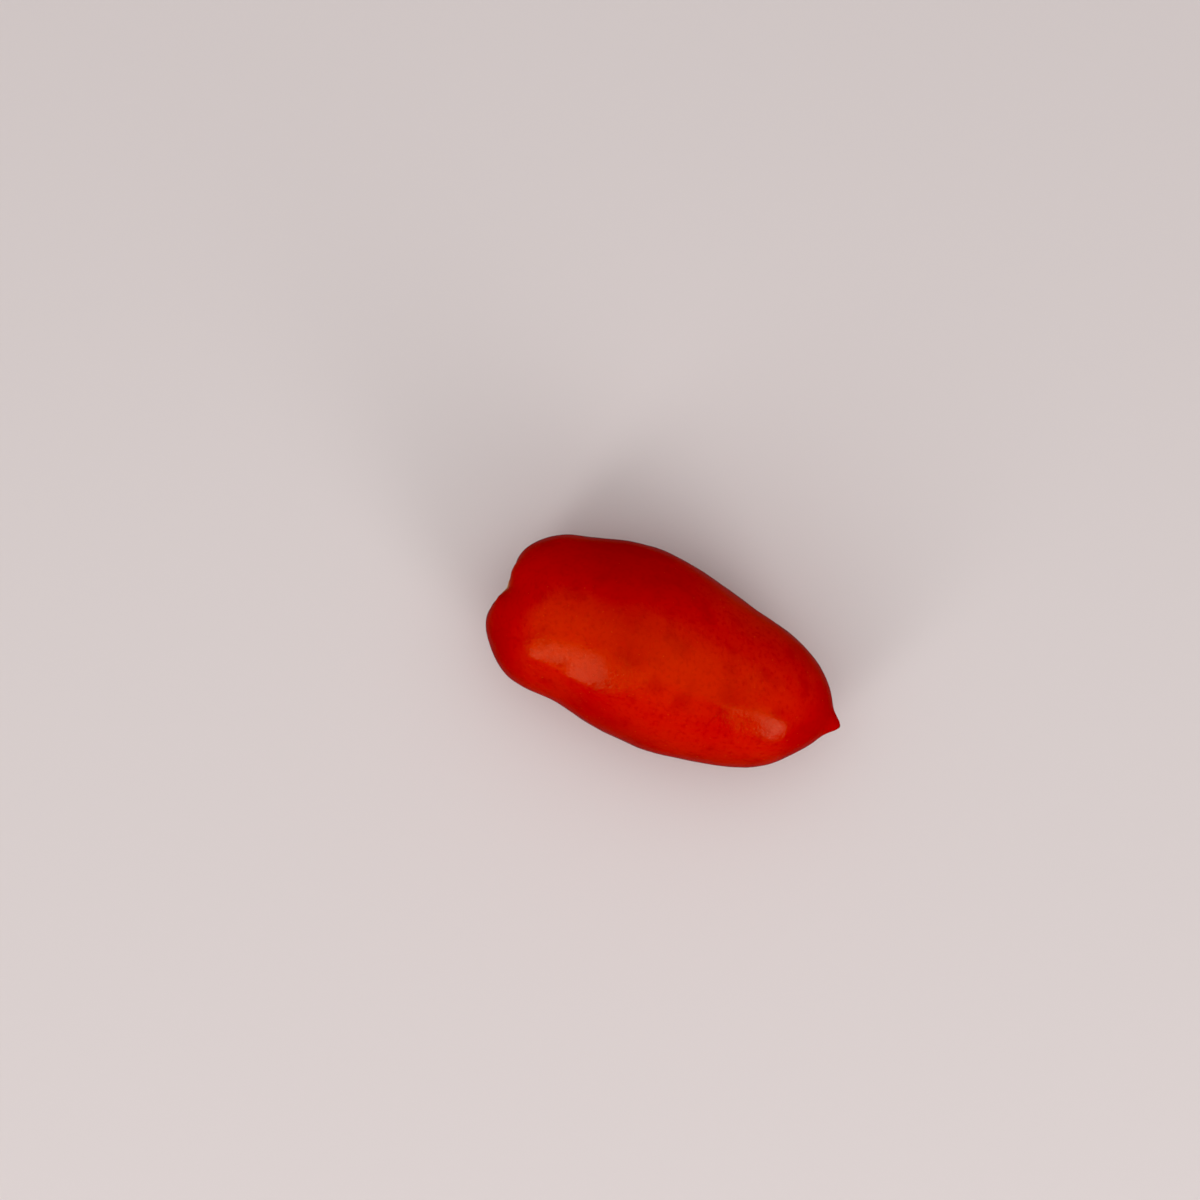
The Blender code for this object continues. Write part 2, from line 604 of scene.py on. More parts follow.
def join(tree, *values):
    """A vector from three numbers."""
    node = tree.nodes.new("ShaderNodeCombineXYZ")
    for socket, value in zip(node.inputs, values):
        feed(tree, socket, value)
    return Wire(tree, node.outputs[0])


def shift(tree, vector, offset):
    """A vector moved by another."""
    node = tree.nodes.new("ShaderNodeVectorMath")
    node.operation = "ADD"
    feed(tree, node.inputs[0], vector)
    feed(tree, node.inputs[1], offset)
    return Wire(tree, node.outputs[0])


def stretch(tree, vector, factors):
    """A vector multiplied part by part."""
    node = tree.nodes.new("ShaderNodeVectorMath")
    node.operation = "MULTIPLY"
    feed(tree, node.inputs[0], vector)
    feed(tree, node.inputs[1], factors)
    return Wire(tree, node.outputs[0])


def scaled(tree, vector, factor):
    """A vector times a number."""
    node = tree.nodes.new("ShaderNodeVectorMath")
    node.operation = "SCALE"
    feed(tree, node.inputs[0], vector)
    feed(tree, node.inputs["Scale"], factor)
    return Wire(tree, node.outputs[0])


def gap(tree, first, second):
    """Distance between two places."""
    node = tree.nodes.new("ShaderNodeVectorMath")
    node.operation = "DISTANCE"
    feed(tree, node.inputs[0], first)
    feed(tree, node.inputs[1], second)
    return Wire(tree, node.outputs["Value"])


def noise(tree, place, size, seed, detail=2.0, roughness=0.5):
    """Smooth noise from 0 to 1 whose waves are about size across."""
    node = tree.nodes.new("ShaderNodeTexNoise")
    node.noise_dimensions = "4D"
    feed(tree, node.inputs["Vector"], place)
    feed(tree, node.inputs["W"], seed)
    feed(tree, node.inputs["Scale"], 1.0 / size)
    feed(tree, node.inputs["Detail"], detail)
    feed(tree, node.inputs["Roughness"], roughness)
    return Wire(tree, node.outputs[0])


def new_tree(name, kind, inputs, outputs):
    """A node group with named sockets, its inputs as wires, and its output node."""
    tree = bpy.data.node_groups.new(name, kind)
    for label, socket_type, default in inputs:
        socket = tree.interface.new_socket(label, in_out="INPUT", socket_type=socket_type)
        if default is not None:
            socket.default_value = default
    for label, socket_type in outputs:
        tree.interface.new_socket(label, in_out="OUTPUT", socket_type=socket_type)
    source = tree.nodes.new("NodeGroupInput")
    given = {label: Wire(tree, source.outputs[label]) for label, _, _ in inputs}
    return tree, given, tree.nodes.new("NodeGroupOutput")


def use_group(tree, kind, group, **values):
    """A group placed in a tree. An underscore in a name stands for a space."""
    node = tree.nodes.new(kind)
    node.node_tree = group
    for label, value in values.items():
        feed(tree, node.inputs[label.replace("_", " ")], value)
    return node


# The shape of the skin, as Geometry Nodes.


def swell_group():
    """Height that one swell adds to the ellipsoid at one place."""
    inputs = [
        ("Along", NUMBER, None),
        ("From axis", NUMBER, None),
        ("Turn", NUMBER, None),
        ("Height", NUMBER, 0.0),
        ("At", NUMBER, 0.0),
        ("Reach", NUMBER, 1.0 * MM),
        ("Angle", NUMBER, 0.0),
        ("Hug", NUMBER, 0.0),
    ]
    tree, given, sink = new_tree("Swell", "GeometryNodeTree", inputs, [("Height", NUMBER)])
    height = given["Height"] * bump(given["Along"] - given["At"], given["Reach"])
    turned = cos(given["Turn"] - given["Angle"]) - 1.0
    side = maths(tree, "EXPONENT", given["Hug"] * turned)
    one_sided = maths(tree, "GREATER_THAN", given["Hug"], 0.0)
    fade = 1.0 - one_sided * bump(given["From axis"], POLE_FADE)
    feed(tree, sink.inputs["Height"], height * side * fade)
    return tree


def sum_of_swells(tree, along, from_axis, turn):
    """Height of all the swells, hollows and ridges together."""
    group = swell_group()
    total = 0.0
    for swell in SWELLS + RIDGES:
        node = use_group(
            tree,
            "GeometryNodeGroup",
            group,
            Along=along,
            From_axis=from_axis,
            Turn=turn,
            Height=swell.height,
            At=swell.at,
            Reach=swell.reach,
            Angle=math.radians(swell.angle),
            Hug=swell.hug,
        )
        node.label = swell.name
        total = Wire(tree, node.outputs["Height"]) + total
    return total


def skin_place_group(fruit):
    """Place of the skin, polar from the stem pole and turn round the length."""
    inputs = [
        ("Polar", NUMBER, None),
        ("Turn", NUMBER, None),
        ("Half length", NUMBER, fruit.half_length),
        ("Radius", NUMBER, fruit.radius),
        ("Flatness", NUMBER, fruit.flatness),
        ("Cavity depth", NUMBER, fruit.cavity_depth),
        ("Cavity radius", NUMBER, fruit.cavity_radius),
        ("Tip length", NUMBER, fruit.tip_length),
        ("Tip radius", NUMBER, fruit.tip_radius),
    ]
    outputs = [("Place", VECTOR)]
    tree, given, sink = new_tree("Skin place", "GeometryNodeTree", inputs, outputs)
    turn = given["Turn"]
    cosine = -cos(given["Polar"])
    sine = sin(given["Polar"])
    along = given["Half length"] * cosine + BODY_MIDDLE
    from_axis = given["Radius"] * sine
    lean_x = cosine * given["Radius"]
    lean_r = sine * given["Half length"]
    steepness = root(lean_x * lean_x + lean_r * lean_r)
    height = sum_of_swells(tree, along, from_axis, turn)
    radius = from_axis + height * lean_r / steepness
    y = radius * cos(turn)
    z = radius * sin(turn) * given["Flatness"]
    at_stem = maths(tree, "LESS_THAN", cosine, 0.0)
    off_y = y - CAVITY_Y
    from_stem = root(off_y * off_y + z * z)
    hollow = given["Cavity depth"] * bump(from_stem, given["Cavity radius"])
    tip = given["Tip length"] * bump(from_axis, given["Tip radius"])
    x = along + height * lean_x / steepness + at_stem * hollow + (1.0 - at_stem) * tip
    lean = maths(tree, "EXPONENT", (NOSE_LEAN_AT - along) / NOSE_LEAN_REACH)
    y = y + NOSE_LEAN / (lean + 1.0)
    feed(tree, sink.inputs["Place"], shift(tree, join(tree, x, y, z), SEAT))
    return tree


def sphere(tree, segments, rings):
    """A unit sphere with its poles on Z, and the three numbers of each point."""
    node = tree.nodes.new("GeometryNodeMeshUVSphere")
    feed(tree, node.inputs["Segments"], segments)
    feed(tree, node.inputs["Rings"], rings)
    place = tree.nodes.new("GeometryNodeInputPosition").outputs[0]
    return node.outputs["Mesh"], split(tree, place)


def move_points(tree, mesh, place=None, offset=None):
    """Move every point to a place, or by an offset."""
    node = tree.nodes.new("GeometryNodeSetPosition")
    feed(tree, node.inputs["Geometry"], mesh)
    if place is not None:
        feed(tree, node.inputs["Position"], place)
    if offset is not None:
        feed(tree, node.inputs["Offset"], offset)
    return node.outputs["Geometry"]


def keep_value(tree, mesh, name, value):
    """Store a number on every point, for the material to read."""
    node = tree.nodes.new("GeometryNodeStoreNamedAttribute")
    feed(tree, node.inputs["Geometry"], mesh)
    feed(tree, node.inputs["Name"], name)
    feed(tree, node.inputs["Value"], value)
    return node.outputs["Geometry"]


def finish_mesh(tree, mesh, material, sink):
    """Shade smooth, make instances real, set the material and send it out."""
    smooth = tree.nodes.new("GeometryNodeSetShadeSmooth")
    real = tree.nodes.new("GeometryNodeRealizeInstances")
    paint = tree.nodes.new("GeometryNodeSetMaterial")
    feed(tree, smooth.inputs["Geometry"], mesh)
    feed(tree, real.inputs["Geometry"], smooth.outputs["Geometry"])
    feed(tree, paint.inputs["Geometry"], real.outputs["Geometry"])
    feed(tree, paint.inputs["Material"], material)
    feed(tree, sink.inputs["Geometry"], paint.outputs["Geometry"])


def from_stem_axis(tree, place):
    """Parts of the way from the line through the stem scar, its length, and x along it."""
    x, y, z = split(tree, place)
    y = y - (CAVITY_Y + SEAT.y)
    z = z - SEAT.z
    return y, z, root(y * y + z * z), x


def stem_end(along):
    """1 at the stem end and 0 on the rest of the fruit, from x along it."""
    return 1.0 - ease(STEM_END_FULL, STEM_END_GONE, along)


def stem_folds(tree, place):
    """Height of the shallow folds that run out from the stem cavity."""
    y, z, away, along = from_stem_axis(tree, place)
    around = join(tree, y / away, z / away, 0.0)
    fold = noise(tree, around, FOLD_SIZE, FOLD_SEED, detail=1.0) - 0.5
    return fold * bump(away - FOLD_AT, FOLD_REACH) * stem_end(along) * FOLD_HEIGHT


def skin_tree(place_group):
    """The whole skin: a sphere moved to the fruit's shape, made uneven and set down."""
    inputs = [
        ("Segments", COUNT, 32),
        ("Rings", COUNT, 16),
        ("Crowding", NUMBER, 0.4),
        ("Unevenness", NUMBER, 0.0),
        ("Unevenness size", NUMBER, 1.0 * MM),
        ("Seed", NUMBER, 0.0),
        ("Material", MATERIAL, None),
    ]
    outputs = [("Geometry", GEOMETRY)]
    tree, given, sink = new_tree("Tomato skin", "GeometryNodeTree", inputs, outputs)
    mesh, (x, y, z) = sphere(tree, given["Segments"], given["Rings"])
    even = maths(tree, "ARCCOSINE", -z)
    polar = even - given["Crowding"] * sin(even * 2.0) * 0.5
    turn = maths(tree, "ARCTAN2", y, x)
    placed = use_group(tree, "GeometryNodeGroup", place_group, Polar=polar, Turn=turn)
    mesh = move_points(tree, mesh, place=placed.outputs["Place"])
    place = tree.nodes.new("GeometryNodeInputPosition").outputs[0]
    normal = tree.nodes.new("GeometryNodeInputNormal").outputs[0]
    waves = noise(tree, place, given["Unevenness size"], given["Seed"], UNEVENNESS_DETAIL)
    rise = (waves - 0.5) * given["Unevenness"] * 2.0 + stem_folds(tree, place)
    mesh = move_points(tree, mesh, offset=scaled(tree, normal, rise))
    x, y, z = split(tree, place)
    z = maths(tree, "SMOOTH_MAX", z, 0.0, FLAT_SPOT_BLEND)
    mesh = move_points(tree, mesh, place=join(tree, x, y, z))
    finish_mesh(tree, mesh, given["Material"], sink)
    return tree


def scar_tree(place_group):
    """A corky pad that lies in the stem cavity, with a sunk ring and a ragged edge."""
    inputs = [
        ("Segments", COUNT, 32),
        ("Rings", COUNT, 16),
        ("Radius", NUMBER, 1.0 * MM),
        ("Thickness", NUMBER, 0.1 * MM),
        ("Body radius", NUMBER, 1.0 * MM),
        ("Seed", NUMBER, 0.0),
        ("Material", MATERIAL, None),
    ]
    outputs = [("Geometry", GEOMETRY)]
    tree, given, sink = new_tree("Stem scar", "GeometryNodeTree", inputs, outputs)
    mesh, (x, y, z) = sphere(tree, given["Segments"], given["Rings"])
    out = root(x * x + y * y)
    mesh = keep_value(tree, mesh, RIM, out)
    seed = given["Seed"]
    off_zero = out + 0.001
    around = join(tree, x / off_zero, y / off_zero, 0.0)
    ragged = noise(tree, around, SCAR_OUTLINE_SIZE, seed, detail=3.0) - 0.5
    reach = given["Radius"] * (ragged * SCAR_OUTLINE_SHARE + 1.0)
    across = x * reach + CAVITY_Y
    up = -(y * reach)
    polar = maths(tree, "ARCSINE", root(across * across + up * up) / given["Body radius"])
    turn = maths(tree, "ARCTAN2", up, across)
    placed = use_group(tree, "GeometryNodeGroup", place_group, Polar=polar, Turn=turn)
    from_middle = out * reach
    plate = 1.0 - maths(tree, "POWER", out, SCAR_FACE_POWER)
    face = join(tree, across, up, 0.0)
    flake = noise(tree, face, SCAR_FLAKE_SIZE, seed, detail=4.0, roughness=0.6) - 0.5
    ring = bump(from_middle - SCAR_RING_RADIUS, SCAR_RING_WIDTH)
    dip = bump(from_middle, SCAR_RING_WIDTH)
    top = given["Thickness"] + flake * SCAR_FLAKE
    top = top - ring * SCAR_RING_DEPTH - dip * SCAR_RING_DEPTH
    upper = maths(tree, "GREATER_THAN", z, 0.0)
    stand = plate * (upper * top - (1.0 - upper) * SCAR_SINK)
    place = shift(tree, placed.outputs["Place"], join(tree, -stand, 0.0, 0.0))
    mesh = move_points(tree, mesh, place=place)
    finish_mesh(tree, mesh, given["Material"], sink)
    return tree


def point_tree():
    """A dried, wrinkled dot at the blossom tip."""
    inputs = [
        ("Segments", COUNT, 32),
        ("Rings", COUNT, 16),
        ("Radius", NUMBER, 0.5 * MM),
        ("Height", NUMBER, 0.3 * MM),
        ("Seed", NUMBER, 0.0),
        ("Material", MATERIAL, None),
    ]
    outputs = [("Geometry", GEOMETRY)]
    tree, given, sink = new_tree("Blossom point", "GeometryNodeTree", inputs, outputs)
    mesh, (x, y, z) = sphere(tree, given["Segments"], given["Rings"])
    place = join(tree, x, y, z)
    wrinkle = noise(tree, place, POINT_WRINKLE_SIZE, given["Seed"], detail=3.0) - 0.5
    side = given["Radius"] * (wrinkle * POINT_WRINKLE_SHARE + 1.0)
    place = join(tree, z * given["Height"] - given["Height"], x * side, y * side)
    mesh = move_points(tree, mesh, place=shift(tree, place, TIP_END))
    finish_mesh(tree, mesh, given["Material"], sink)
    return tree


def grow(name, tree, **values):
    """Run a node tree as a modifier, and keep what it makes as a plain mesh."""
    piece = bpy.data.objects.new(name, bpy.data.meshes.new(name))
    bpy.context.scene.collection.objects.link(piece)
    modifier = piece.modifiers.new(name, "NODES")
    modifier.node_group = tree
    for item in tree.interface.items_tree:
        key = item.name.replace(" ", "_")
        if item.in_out == "INPUT" and key in values:
            modifier[item.identifier] = values[key]
    depsgraph = bpy.context.evaluated_depsgraph_get()
    made = bpy.data.meshes.new_from_object(piece.evaluated_get(depsgraph))
    piece.modifiers.remove(modifier)
    piece.data = made
    made.name = name
    return piece


# Materials.


def mixed(tree, share, first, second):
    """First colour where share is 0, second where it is 1."""
    node = tree.nodes.new("ShaderNodeMix")
    node.data_type = "RGBA"
    feed(tree, node.inputs[0], share)
    feed(tree, node.inputs[6], first)
    feed(tree, node.inputs[7], second)
    return Wire(tree, node.outputs[2])


def object_place(tree):
    """Where the surface is, in the object's own metres."""
    return Wire(tree, tree.nodes.new("ShaderNodeTexCoord").outputs["Object"])


def patches_group():
    """Soft patches of a given size, from 0 outside to 1 inside them."""
    inputs = [
        ("Place", VECTOR, None),
        ("Size", NUMBER, 1.0 * MM),
        ("Low", NUMBER, 0.5),
        ("High", NUMBER, 0.7),
        ("Detail", NUMBER, 2.0),
        ("Seed", NUMBER, 0.0),
    ]
    tree, given, sink = new_tree("Patches", "ShaderNodeTree", inputs, [("Mask", NUMBER)])
    waves = noise(tree, given["Place"], given["Size"], given["Seed"], given["Detail"])
    feed(tree, sink.inputs["Mask"], ease(given["Low"], given["High"], waves))
    return tree


def spot_group():
    """A soft round spot with a wavering edge."""
    inputs = [
        ("Place", VECTOR, None),
        ("Centre", VECTOR, None),
        ("Radius", NUMBER, 1.0 * MM),
        ("Waver", NUMBER, 0.4),
    ]
    tree, given, sink = new_tree("Spot", "ShaderNodeTree", inputs, [("Mask", NUMBER)])
    distance = gap(tree, given["Place"], given["Centre"]) / given["Radius"]
    edge = noise(tree, given["Place"], given["Radius"], SPOT_SEED, detail=3.0) - 0.5
    away = distance + edge * given["Waver"]
    feed(tree, sink.inputs["Mask"], 1.0 - ease(SPOT_CORE, 1.0, away))
    return tree


def pebble_group():
    """Fine pebbled relief of a skin, as a normal."""
    inputs = [
        ("Place", VECTOR, None),
        ("Size", NUMBER, 1.0 * MM),
        ("Depth", NUMBER, 0.01 * MM),
        ("Coarse size", NUMBER, 1.0 * MM),
        ("Coarse depth", NUMBER, 0.01 * MM),
    ]
    outputs = [("Normal", VECTOR)]
    tree, given, sink = new_tree("Pebble", "ShaderNodeTree", inputs, outputs)
    fine = noise(tree, given["Place"], given["Size"], FINE_SEED)
    coarse = noise(tree, given["Place"], given["Coarse size"], COARSE_SEED)
    height = fine * given["Depth"] + coarse * given["Coarse depth"]
    node = tree.nodes.new("ShaderNodeBump")
    feed(tree, node.inputs["Height"], height)
    node.inputs["Distance"].default_value = 1.0
    feed(tree, sink.inputs["Normal"], node.outputs["Normal"])
    return tree


SHARED = {}


def shader_group(make):
    """A shared shader group, built the first time it is asked for."""
    name = make.__name__
    if name not in SHARED:
        SHARED[name] = make()
    return SHARED[name]


def patches(tree, place, kind):
    """Share of soft patches, from 0 outside them to their strength inside."""
    node = use_group(
        tree,
        "ShaderNodeGroup",
        shader_group(patches_group),
        Place=place,
        Size=kind.size,
        Low=kind.low,
        High=kind.high,
        Seed=kind.seed,
        Detail=kind.detail,
    )
    return Wire(tree, node.outputs["Mask"]) * kind.strength


def pebble(tree, place, relief):
    """Normal of a surface with a fine relief."""
    node = use_group(
        tree,
        "ShaderNodeGroup",
        shader_group(pebble_group),
        Place=place,
        Size=relief.size,
        Depth=relief.depth,
        Coarse_size=relief.coarse_size,
        Coarse_depth=relief.coarse_depth,
    )
    return node.outputs["Normal"]


def wavering(tree, place, distance, waver):
    """A distance that wavers from place to place."""
    waves = noise(tree, place, waver.size, waver.seed, waver.detail) - 0.5
    return distance + waves * waver.height


def new_material(name):
    """A material with an empty Principled shader."""
    material = bpy.data.materials.new(name)
    material.use_nodes = True
    tree = material.node_tree
    return material, tree, tree.nodes["Principled BSDF"]


def spot(tree, place, centre, radius):
    """Mask of one soft spot, 1 at its centre."""
    node = use_group(
        tree,
        "ShaderNodeGroup",
        shader_group(spot_group),
        Place=place,
        Centre=centre,
        Radius=radius,
    )
    return Wire(tree, node.outputs["Mask"])


def zoned(tree, place, colour, zones, other):
    """A colour that turns to another in each zone."""
    for zone in zones:
        share = spot(tree, place, zone.middle, zone.reach) * zone.strength
        colour = mixed(tree, share, colour, other)
    return colour


def skin_material(colours):
    """Waxy red skin: patches, zones of orange tone and painted sheen, zones of dark mottles
    and painted shade, streaks, a scuff, pale flecks and a glow at the stem.
    """
    material, tree, shader = new_material("tomato_skin")
    place = object_place(tree)
    colour = mixed(tree, patches(tree, place, RIPENESS), colours.deep, colours.bright)
    # Orange tone that partly stands for painted sheen round the highlights.
    colour = zoned(tree, place, colour, ORANGE_TONE_AND_SHEEN_ZONES, colours.warm)
    # Dark mottles, and painted shade along the lower flank and on the upper-left shoulder.
    colour = zoned(tree, place, colour, MOTTLE_AND_SHADE_ZONES, colours.dark)
    long_place = stretch(tree, place, STREAK_STRETCH)
    colour = mixed(tree, patches(tree, long_place, STREAKS), colour, colours.bright)
    colour = mixed(tree, patches(tree, place, BLOTCHES), colour, colours.dark)
    colour = mixed(tree, patches(tree, place, GRAIN), colour, colours.bright)
    colour = mixed(tree, patches(tree, place, PORES), colour, colours.dark)
    scuff = bump(gap(tree, place, SCUFF_CENTRE) - SCUFF_CURVE, SCUFF_WIDTH)
    scuff = scuff * spot(tree, place, SCUFF_MIDDLE, SCUFF_REACH)
    colour = mixed(tree, scuff * SCUFF_STRENGTH, colour, colours.dark)
    colour = mixed(tree, patches(tree, place, FLECKS), colour, colours.fleck)
    _, _, away, along = from_stem_axis(tree, place)
    away = wavering(tree, place, away, SKIN_WAVER)
    at_stem = stem_end(along)
    for halo, other in ((STEM_GLOW, colours.stem_glow), (STEM_RIM, colours.stem_rim)):
        share = (1.0 - ease(halo.full, halo.gone, away)) * at_stem
        colour = mixed(tree, share * halo.strength, colour, other)
    feed(tree, shader.inputs["Base Color"], colour)
    roughness = patches(tree, place, DULLNESS) + SKIN_ROUGHNESS
    feed(tree, shader.inputs["Roughness"], roughness)
    feed(tree, shader.inputs["Normal"], pebble(tree, place, SKIN_RELIEF))
    shader.inputs["Subsurface Weight"].default_value = 0.15
    shader.inputs["Subsurface Radius"].default_value = (1.0, 0.12, 0.05)
    shader.inputs["Subsurface Scale"].default_value = 2.5 * MM
    shader.inputs["IOR"].default_value = 1.33
    shader.inputs["Specular Tint"].default_value = (1.0, 0.48, 0.22, 1.0)
    return material


def cork_material(colours):
    """Dry cream and olive cork with broken dark rings and fine cracks."""
    material, tree, shader = new_material("stem_cork")
    place = object_place(tree)
    _, _, away, _ = from_stem_axis(tree, place)
    away = wavering(tree, place, away, CORK_WAVER)
    colour = mixed(tree, patches(tree, place, CORK_MOTTLE), colours.cork, colours.olive)
    outside = ease(SALMON_FROM, SALMON_FULL, away) * SALMON_STRENGTH
    colour = mixed(tree, outside, colour, colours.salmon)
    level = noise(tree, place, CRACK_SIZE, CRACK_SEED, detail=3.0) - 0.5
    crack = 1.0 - ease(0.0, CRACK_WIDTH, maths(tree, "ABSOLUTE", level))
    broken = patches(tree, place, CORK_BREAKS)
    inner = bump(away - INNER_RING.radius, INNER_RING.width) * broken
    outer = bump(away - OUTER_RING.radius, OUTER_RING.width) * (1.0 - broken)
    dark = inner * INNER_RING.strength + outer * OUTER_RING.strength + crack * CRACK_STRENGTH
    colour = mixed(tree, maths(tree, "MINIMUM", dark, 1.0), colour, colours.bark)
    kept = tree.nodes.new("ShaderNodeAttribute")
    kept.attribute_name = RIM
    edge = ease(CORK_RIM_FROM, CORK_RIM_FULL, Wire(tree, kept.outputs["Fac"]))
    colour = mixed(tree, edge * CORK_RIM_STRENGTH, colour, CORK_RIM_COLOUR)
    feed(tree, shader.inputs["Base Color"], colour)
    shader.inputs["Roughness"].default_value = 0.8
    shader.inputs["Specular IOR Level"].default_value = 0.2
    feed(tree, shader.inputs["Normal"], pebble(tree, place, CORK_RELIEF))
    return material


def point_material(colours):
    """Dry brown skin of the blossom point."""
    material, tree, shader = new_material("blossom_point")
    place = object_place(tree)
    colour = mixed(tree, patches(tree, place, POINT_MOTTLE), colours.bark, POINT_BROWN)
    feed(tree, shader.inputs["Base Color"], colour)
    shader.inputs["Roughness"].default_value = 0.75
    shader.inputs["Specular IOR Level"].default_value = 0.2
    feed(tree, shader.inputs["Normal"], pebble(tree, place, POINT_RELIEF))
    return material


# The studio.


def floor_material(colour):
    """Plain pale matt floor."""
    material, _, shader = new_material("studio_floor")
    shader.inputs["Base Color"].default_value = colour
    shader.inputs["Roughness"].default_value = 0.9
    shader.inputs["Specular IOR Level"].default_value = 0.2
    return material


def add_floor(colour):
    """A wide round floor whose rim rises into a low wall."""
    mesh = bmesh.new()
    bmesh.ops.create_circle(mesh, cap_ends=True, segments=FLOOR_SEGMENTS, radius=FLOOR_RADIUS)
    rim = [edge for edge in mesh.edges if edge.is_boundary]
    for step in range(1, WALL_STEPS + 1):
        rise = bmesh.ops.extrude_edge_only(mesh, edges=rim)
        moved = [item for item in rise["geom"] if isinstance(item, bmesh.types.BMVert)]
        angle = math.radians(90.0 * step / WALL_STEPS)
        ring = FLOOR_RADIUS + WALL_REACH * math.sin(angle)
        for vert in moved:
            flat = Vector((vert.co.x, vert.co.y)).normalized() * ring
            vert.co = Vector((flat.x, flat.y, WALL_REACH * (1.0 - math.cos(angle))))
        rim = [item for item in rise["geom"] if isinstance(item, bmesh.types.BMEdge)]
    bmesh.ops.recalc_face_normals(mesh, faces=mesh.faces)
    data = bpy.data.meshes.new("studio_floor")
    mesh.to_mesh(data)
    mesh.free()
    data.materials.append(floor_material(colour))
    floor = bpy.data.objects.new("studio_floor", data)
    floor.visible_glossy = False
    bpy.context.scene.collection.objects.link(floor)


def light_direction(azimuth, elevation):
    """Unit vector towards a light, from its two angles in degrees."""
    turn = FRAME_TURN - math.radians(90.0 + azimuth)
    rise = math.radians(elevation)
    level = math.cos(rise)
    return Vector((math.cos(turn) * level, math.sin(turn) * level, math.sin(rise)))


def add_softbox(softbox, brightness):
    """A rectangular light that faces the fruit, hidden from the camera.

    It is brightest near its lower edge and fades towards its top and its sides.
    """
    width, height = softbox.size
    light = bpy.data.lights.new(softbox.name, "AREA")
    light.shape = "RECTANGLE"
    light.size, light.size_y = width, height
    light.energy = math.pi * width * height * brightness
    light.use_nodes = True
    tree = light.node_tree
    face = tree.nodes.new("ShaderNodeNewGeometry").outputs["Parametric"]
    across, up, _ = split(tree, face)
    sides = ease(0.0, SIDE_FADE, across) * (1.0 - ease(1.0 - SIDE_FADE, 1.0, across))
    ends = ease(0.0, FOOT_FADE, up) * (1.0 - ease(TOP_FADE_FROM, 1.0, up))
    feed(tree, tree.nodes["Emission"].inputs["Strength"], sides * ends)
    box = bpy.data.objects.new(softbox.name, light)
    direction = light_direction(softbox.azimuth, softbox.elevation)
    box.location = LIGHT_TARGET + direction * softbox.distance
    box.rotation_mode = "QUATERNION"
    box.rotation_quaternion = (-direction).to_track_quat("-Z", "Y")
    box.visible_camera = False
    bpy.context.scene.collection.objects.link(box)


def add_room(low, high):
    """Light from all round, dim at the floor's level and soft and bright overhead."""
    world = bpy.data.worlds.new("studio_room")
    world.use_nodes = True
    tree = world.node_tree
    direction = tree.nodes.new("ShaderNodeTexCoord").outputs["Generated"]
    _, _, up = split(tree, direction)
    overhead = maths(tree, "MAXIMUM", up, 0.0)
    strength = overhead * overhead * overhead * (high - low) + low
    background = tree.nodes["Background"]
    background.inputs["Color"].default_value = (1.0, 1.0, 1.0, 1.0)
    feed(tree, background.inputs["Strength"], strength)
    bpy.context.scene.world = world


def add_camera(height):
    """A camera straight overhead, framed and turned as the photograph is."""
    data = bpy.data.cameras.new("camera")
    data.sensor_width = SENSOR
    data.lens = SENSOR * height / FRAME_SIZE
    data.clip_start = 0.01
    data.clip_end = 20.0
    camera = bpy.data.objects.new("camera", data)
    camera.location = FRAME_MIDDLE + Vector((0.0, 0.0, height))
    camera.rotation_euler = (0.0, 0.0, FRAME_TURN)
    bpy.context.scene.collection.objects.link(camera)
    bpy.context.scene.camera = camera


def set_colour_view(view):
    """Plain colours, with blacks set just deep enough for a saturated red."""
    view.view_transform = "Standard"
    view.use_curve_mapping = True
    view.curve_mapping.black_level = (BLACK_LEVEL,) * 3
    view.curve_mapping.update()


# One operator for each piece, and one for the studio.


class TOMATO_OT_add_skin(bpy.types.Operator):
    """Grow the fruit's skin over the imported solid"""

    bl_idname = "tomato.add_skin"
    bl_label = "Add skin"

    def execute(self, context):
        settings = context.scene.plum_tomato
        fruit = settings.fruit
        skin = grow(
            "tomato_skin",
            skin_tree(skin_place_group(fruit)),
            Segments=fruit.segments,
            Rings=fruit.rings,
            Crowding=CROWDING,
            Unevenness=fruit.unevenness,
            Unevenness_size=fruit.unevenness_size,
            Seed=UNEVENNESS_SEED,
            Material=skin_material(settings.skin),
        )
        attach(skin, BODY)
        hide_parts(NODE)
        return {"FINISHED"}


class TOMATO_OT_add_stem_scar(bpy.types.Operator):
    """Lay the corky stem scar in the cavity at the stem end"""

    bl_idname = "tomato.add_stem_scar"
    bl_label = "Add stem scar"

    def execute(self, context):
        settings = context.scene.plum_tomato
        scar = grow(
            "stem_scar",
            scar_tree(skin_place_group(settings.fruit)),
            Segments=SCAR_SEGMENTS,
            Rings=SCAR_RINGS,
            Radius=settings.scar.radius,
            Thickness=settings.scar.thickness,
            Body_radius=settings.fruit.radius,
            Seed=SCAR_SEED,
            Material=cork_material(settings.scar),
        )
        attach(scar, BODY)
        return {"FINISHED"}


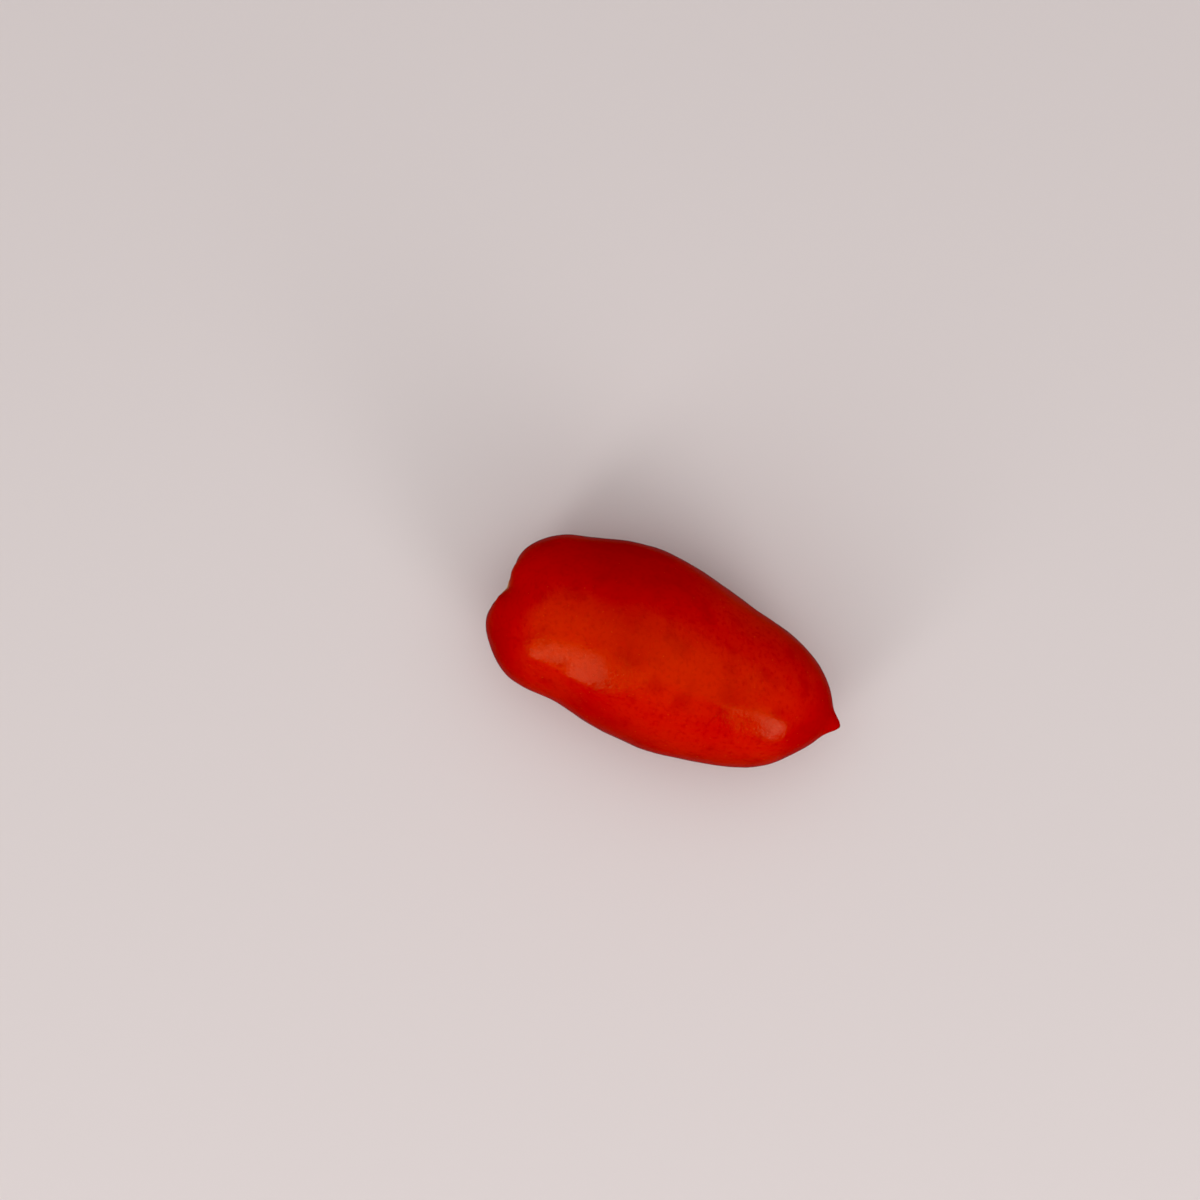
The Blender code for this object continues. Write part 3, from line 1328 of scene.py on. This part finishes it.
class TOMATO_OT_add_blossom_point(bpy.types.Operator):
    """Set the dried point on the blossom tip"""

    bl_idname = "tomato.add_blossom_point"
    bl_label = "Add blossom point"

    def execute(self, context):
        settings = context.scene.plum_tomato
        point = grow(
            "blossom_point",
            point_tree(),
            Segments=POINT_SEGMENTS,
            Rings=POINT_RINGS,
            Radius=POINT_RADIUS,
            Height=POINT_HEIGHT,
            Seed=POINT_SEED,
            Material=point_material(settings.scar),
        )
        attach(point, BODY)
        return {"FINISHED"}


class TOMATO_OT_add_studio(bpy.types.Operator):
    """Add the pale floor, the soft lights and the overhead camera"""

    bl_idname = "tomato.add_studio"
    bl_label = "Add studio"

    def execute(self, context):
        studio = context.scene.plum_tomato.studio
        add_floor(studio.floor)
        add_room(studio.room_brightness, studio.top_brightness)
        for softbox in SOFTBOXES:
            add_softbox(softbox, studio.key_brightness)
        add_camera(studio.camera_height)
        set_colour_view(context.scene.view_settings)
        return {"FINISHED"}


class TOMATO_PT_sidebar(bpy.types.Panel):
    """The plum tomato's pieces and settings"""

    bl_idname = "TOMATO_PT_sidebar"
    bl_label = "Plum tomato"
    bl_space_type = "VIEW_3D"
    bl_region_type = "UI"
    bl_category = "Plum tomato"

    def draw(self, context):
        settings = context.scene.plum_tomato
        for group in (settings.fruit, settings.skin, settings.scar, settings.studio):
            box = self.layout.box()
            for name in group.__annotations__:
                box.prop(group, name)
        for operator in OPERATORS:
            self.layout.operator(operator.bl_idname)


SETTINGS = (FruitSettings, SkinSettings, ScarSettings, StudioSettings, TomatoSettings)
OPERATORS = (
    TOMATO_OT_add_skin,
    TOMATO_OT_add_stem_scar,
    TOMATO_OT_add_blossom_point,
    TOMATO_OT_add_studio,
)
CLASSES = SETTINGS + OPERATORS + (TOMATO_PT_sidebar,)


def register():
    """Add the settings, the operators and the panel."""
    for item in CLASSES:
        bpy.utils.register_class(item)
    bpy.types.Scene.plum_tomato = PointerProperty(type=TomatoSettings)


def unregister():
    """Take the panel, the operators and the settings away."""
    del bpy.types.Scene.plum_tomato
    for item in reversed(CLASSES):
        bpy.utils.unregister_class(item)


def main():
    """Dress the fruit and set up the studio."""
    register()
    bpy.ops.tomato.add_skin()
    bpy.ops.tomato.add_stem_scar()
    bpy.ops.tomato.add_blossom_point()
    bpy.ops.tomato.add_studio()


if __name__ == "__main__":
    main()
